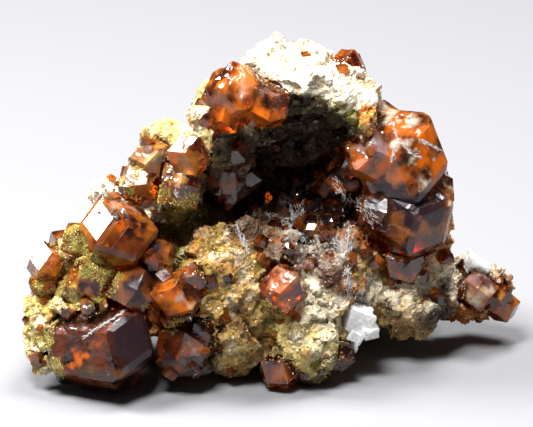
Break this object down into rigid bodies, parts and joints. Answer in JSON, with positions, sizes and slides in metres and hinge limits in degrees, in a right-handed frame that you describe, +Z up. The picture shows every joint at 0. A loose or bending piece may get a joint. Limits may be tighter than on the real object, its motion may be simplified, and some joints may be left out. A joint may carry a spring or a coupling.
{
  "type": "garnet in matrix",
  "caption": "Natural mineral specimen: orange-brown garnet crystals on granular yellow-green and cream rock with a deep hollow under its crown.",
  "frame": {"origin": "middle of the specimen's bounding box at the level it stands on", "axes": "+Z up as it rests, +X to the right of the pictured face, -Y towards the viewer of that face"},
  "size_m": [0.0504, 0.032, 0.0341],
  "materials": {
    "host_rock": "granular, rough",
    "garnet": "glassy, orange-brown, clear to translucent",
    "dark_garnet": "glassy, dark red-brown, clear to translucent",
    "calcite": "pearly, white, translucent"
  },
  "bodies": {
    "root": {"host_rock": "host_rock", "garnet_upper_left": "garnet", "garnet_lower_left": "dark_garnet", "garnet_far_left": "garnet", "garnet_centre_left": "garnet", "garnet_foot_left": "dark_garnet", "garnet_shoulder": "garnet", "garnet_ridge": "garnet", "garnet_crown_left": "garnet", "garnet_crown_right": "garnet", "garnet_hollow_left": "dark_garnet", "garnet_hollow_right": "dark_garnet", "garnet_right": "garnet", "garnet_centre": "garnet", "garnet_right_base": "garnet", "garnet_right_lobe": "garnet", "garnet_front_foot": "garnet", "garnet_foot_right": "garnet", "garnet_back_left": "garnet", "garnet_back_right": "garnet", "garnet_left_side": "garnet", "calcite": "calcite", "calcite_lobe": "calcite"}
  },
  "joints": []
}
